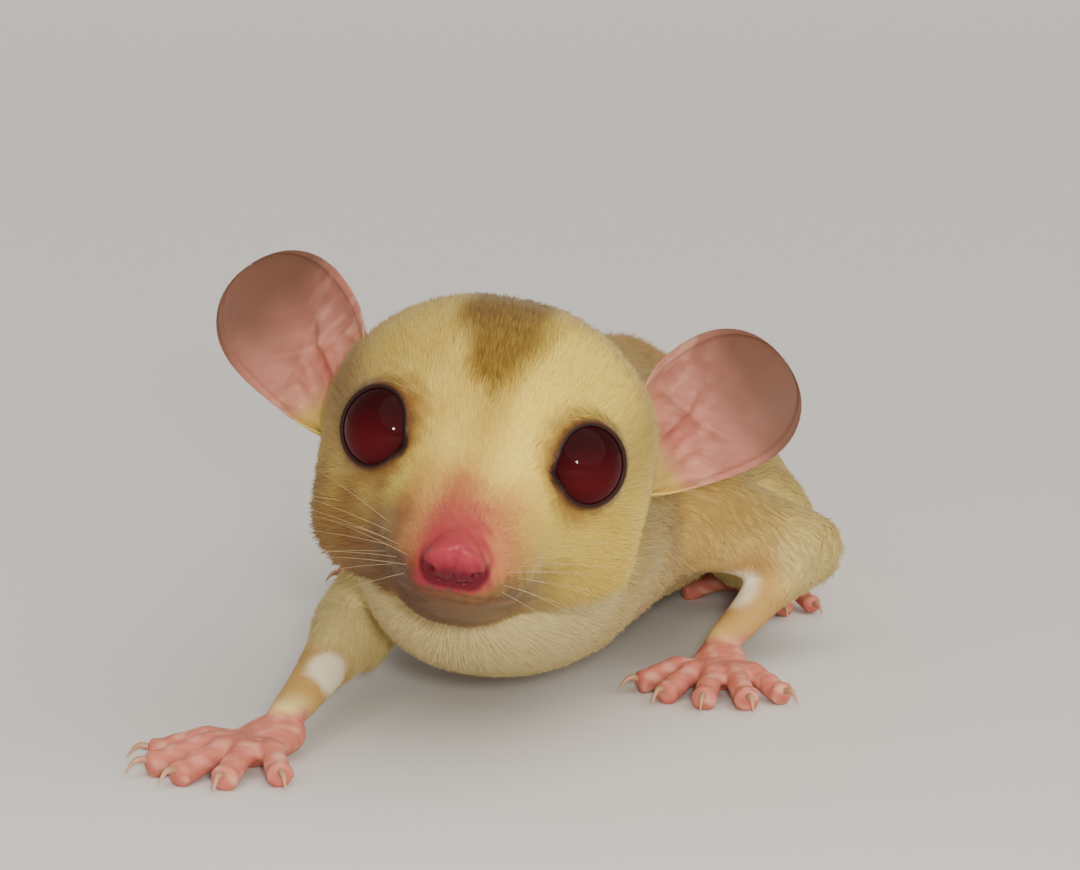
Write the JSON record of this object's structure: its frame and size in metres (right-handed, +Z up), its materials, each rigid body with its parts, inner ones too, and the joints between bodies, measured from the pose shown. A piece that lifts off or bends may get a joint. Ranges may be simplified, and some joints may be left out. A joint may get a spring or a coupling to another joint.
{
  "type": "sugar glider",
  "caption": "Sugar glider, a small furry gliding possum with large dark eyes and thin cupped ears, crouched on all fours with its head raised and its tail laid out behind.",
  "frame": {"origin": "on the floor under the middle of the model's box", "axes": "+Z up; the animal faces -Y and its tail runs out towards +Y; its left side is +X"},
  "size_m": [0.0754, 0.3022, 0.0493],
  "materials": {
    "fur": "soft cream fur with a golden-brown stripe from brow to rump",
    "bare_skin": "bare pink to mauve skin of the ears, nose and paws, thin, with a soft sheen",
    "eye": "wet gloss",
    "claw": "horn, half matt"
  },
  "bodies": {
    "root": {"head": "fur", "nose": "bare_skin", "eye_left": "eye", "eye_right": "eye", "ear_left": "bare_skin", "ear_right": "bare_skin", "neck": "fur", "trunk": "fur", "foreleg_left": "fur", "foreleg_right": "fur", "hindleg_left": "fur", "hindleg_right": "fur", "flank_fold_left": "fur", "flank_fold_right": "fur", "forepaw_left": "bare_skin", "forepaw_right": "bare_skin", "hindfoot_left": "bare_skin", "hindfoot_right": "bare_skin", "fore_claw_left_1": "claw", "fore_claw_left_2": "claw", "fore_claw_left_3": "claw", "fore_claw_left_4": "claw", "fore_claw_left_5": "claw", "fore_claw_right_1": "claw", "fore_claw_right_2": "claw", "fore_claw_right_3": "claw", "fore_claw_right_4": "claw", "fore_claw_right_5": "claw", "hind_claw_left_2": "claw", "hind_claw_left_3": "claw", "hind_claw_left_4": "claw", "hind_claw_left_5": "claw", "hind_claw_right_2": "claw", "hind_claw_right_3": "claw", "hind_claw_right_4": "claw", "hind_claw_right_5": "claw", "tail_1": "fur", "tail_2": "fur", "tail_3": "fur", "tail_4": "fur"}
  },
  "joints": []
}
